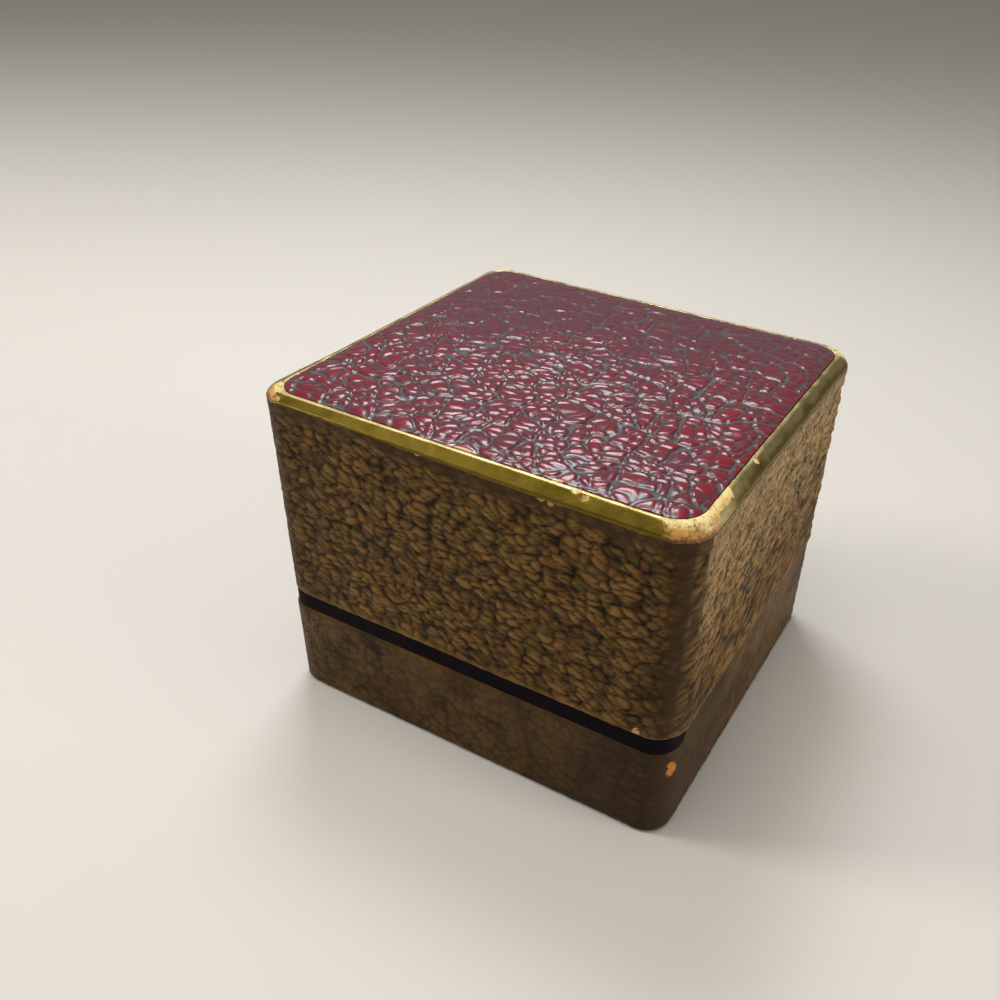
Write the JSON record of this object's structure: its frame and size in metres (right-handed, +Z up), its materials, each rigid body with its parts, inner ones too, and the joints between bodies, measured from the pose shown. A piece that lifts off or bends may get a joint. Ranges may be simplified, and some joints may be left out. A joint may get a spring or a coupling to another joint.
{
  "type": "ring box",
  "caption": "Small leather-covered ring box with a high hinged lid, a bevelled gilt rim round a raised burgundy leather panel, and a velvet ring slot inside.",
  "frame": {"origin": "centre of the box's footprint, on the surface that it stands on", "axes": "+Z up, -Y towards the opening side, +Y towards the hinge, +X along the hinge (to the right as seen from the opening side)"},
  "size_m": [0.05, 0.046, 0.0395],
  "materials": {
    "brown_leather": "pebbled brown leather, semi-matt, worn smooth at the corners",
    "burgundy_leather": "burgundy pebbled leather with a soft polish",
    "strip_leather": "smooth dark leather",
    "gilt": "gilded wood, semi-gloss, rubbed through at the corners",
    "box_wood": "raw softwood",
    "card": "matt grey-brown card",
    "bottom_cloth": "matt dark brown book cloth",
    "liner_velvet": "matt violet velvet on card",
    "liner_satin": "cream satin on card",
    "pad_velvet": "violet velvet with a soft nap",
    "pad_satin": "cream satin, soft sheen",
    "hinge_brass": "dull drawn brass",
    "pin_steel": "drawn steel wire"
  },
  "bodies": {
    "base": {"base_shell": "box_wood", "base_leather": "brown_leather", "base_bottom_cover": "bottom_cloth", "base_liner": "liner_velvet", "pad_board": "card", "ring_pad_front": "pad_velvet", "ring_pad_rear": "pad_velvet", "hinge_base_leaf": "hinge_brass", "hinge_pin": "pin_steel", "base_leaf_rivets": "hinge_brass", "hinge_strip": "strip_leather"},
    "lid": {"lid_shell": "box_wood", "lid_leather": "brown_leather", "gilt_rim": "gilt", "top_panel_board": "card", "top_panel_leather": "burgundy_leather", "lid_liner": "liner_satin", "lid_pad_card": "card", "lid_satin_pad": "pad_satin", "hinge_lid_leaf": "hinge_brass", "lid_leaf_rivets": "hinge_brass"}
  },
  "joints": [
    {"name": "lid_hinge", "type": "hinge", "parent": "base", "child": "lid", "pos_m": [0, 0.02215, 0.01298], "axis": [-1, 0, 0], "range_deg": [0, 95], "deforming": ["hinge_strip"]}
  ]
}
